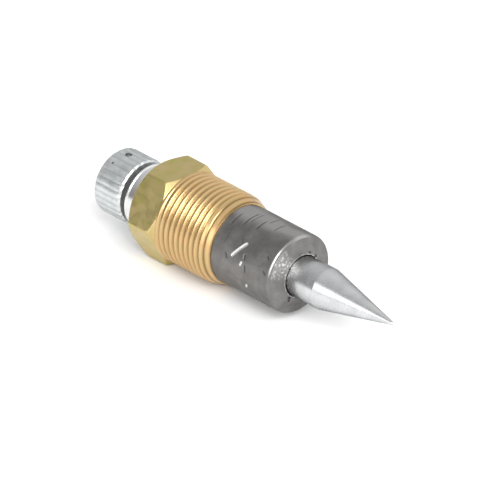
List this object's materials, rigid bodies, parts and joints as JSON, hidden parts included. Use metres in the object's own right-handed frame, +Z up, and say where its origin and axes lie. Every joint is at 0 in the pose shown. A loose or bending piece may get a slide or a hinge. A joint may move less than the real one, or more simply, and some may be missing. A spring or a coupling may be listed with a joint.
{
  "type": "oil burner nozzle",
  "caption": "Screw-in oil burner nozzle: brass hex body with male thread, dark guide sleeve, pointed metering needle and a knurled knob that turns the needle in and out.",
  "frame": {"origin": "on the nozzle's axis, in the plane where the hexagon ends and the male thread starts", "axes": "+X along the axis from the hexagon towards the needle's tip, +Z up through the middle of a wrench flat, +Y through a corner of the hexagon"},
  "size_m": [0.0591, 0.0162, 0.0142],
  "materials": {
    "brass_body": "machined, lightly polished",
    "dark_sleeve": "blackened steel, satin with small nicks",
    "bronze": "sintered, satin",
    "turned_steel": "turned",
    "knurled_steel": "straight-knurled, satin",
    "polished_steel": "ground and polished",
    "spring_steel": "satin",
    "copper": "annealed, dull",
    "seal_rubber": "matte",
    "white_plastic": "satin",
    "felt": "matte felt"
  },
  "bodies": {
    "nozzle_body": {"hex_body": "brass_body", "guide_sleeve": "dark_sleeve", "front_guide_bush": "bronze", "gland_nut": "turned_steel", "gland_seal_ring": "copper", "stem_wiper": "felt", "gland_washer": "turned_steel", "stem_o_ring_rear": "seal_rubber", "o_ring_spacer": "white_plastic", "stem_o_ring_front": "seal_rubber", "sleeve_o_ring": "seal_rubber", "spring_seat_washer": "turned_steel", "backlash_spring": "spring_steel"},
    "sliding_washer": {"thrust_washer": "turned_steel"},
    "needle_spindle": {"spindle": "turned_steel", "retaining_ring": "spring_steel", "needle_lock_nut": "turned_steel", "needle": "polished_steel", "knob": "knurled_steel", "knob_grub_screw": "spring_steel"}
  },
  "joints": [
    {"name": "needle_travel", "type": "slide", "parent": "nozzle_body", "child": "sliding_washer", "axis": [1, 0, 0], "range_m": [-0.003, 0.0006], "deforming": ["backlash_spring"]},
    {"name": "knob_turn", "type": "hinge", "parent": "sliding_washer", "child": "needle_spindle", "pos_m": [0, 0, 0], "axis": [1, 0, 0], "range_deg": [-1080, 216]}
  ],
  "couplings": [
    {"joint": "knob_turn", "follows": "needle_travel", "rad_per_m": 6283.2}
  ]
}
